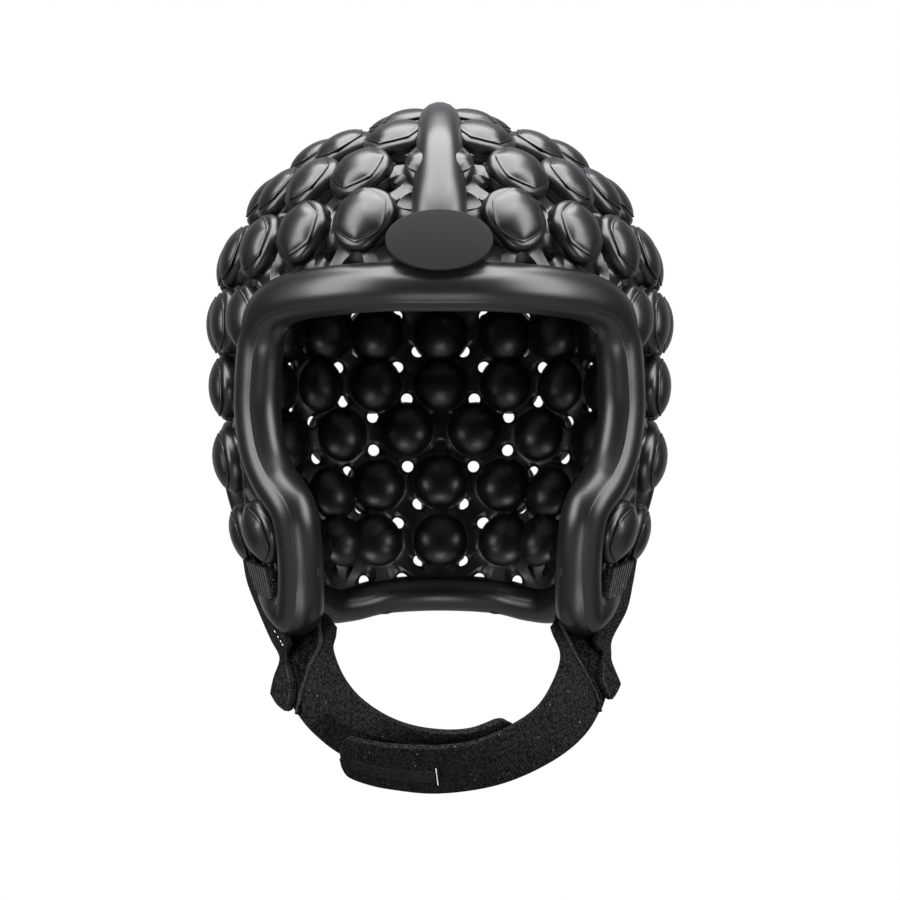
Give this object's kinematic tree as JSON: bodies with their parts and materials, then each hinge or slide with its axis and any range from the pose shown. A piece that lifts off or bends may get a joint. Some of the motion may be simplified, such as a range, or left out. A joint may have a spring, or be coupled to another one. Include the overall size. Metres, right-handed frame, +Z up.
{
  "type": "head guard",
  "caption": "Soft moulded foam head guard with hexagonal pods, vent holes, a thick rolled rim, ear openings and a cloth chin strap closed under the chin.",
  "frame": {"origin": "where the crown of the head sits inside the shell, on the centre plane", "axes": "+Z up, the face opening looks towards -Y, +X to the wearer's left"},
  "size_m": [0.187, 0.2284, 0.2671],
  "materials": {
    "foam": "satin moulded foam",
    "badge": "matte",
    "cloth": "matte knit",
    "pile": "brushed pile",
    "webbing": "ribbed weave"
  },
  "bodies": {
    "root": {"shell_left": "foam", "shell_right": "foam", "brow_badge": "badge", "elastic_left": "webbing", "elastic_right": "webbing", "side_strap_left": "cloth", "side_strap_right": "cloth", "loop_patch_left": "pile", "loop_patch_right": "pile", "chin_strap_left": "cloth", "chin_strap_right": "cloth", "hook_patch": "pile", "pull_tab": "webbing"}
  },
  "joints": []
}
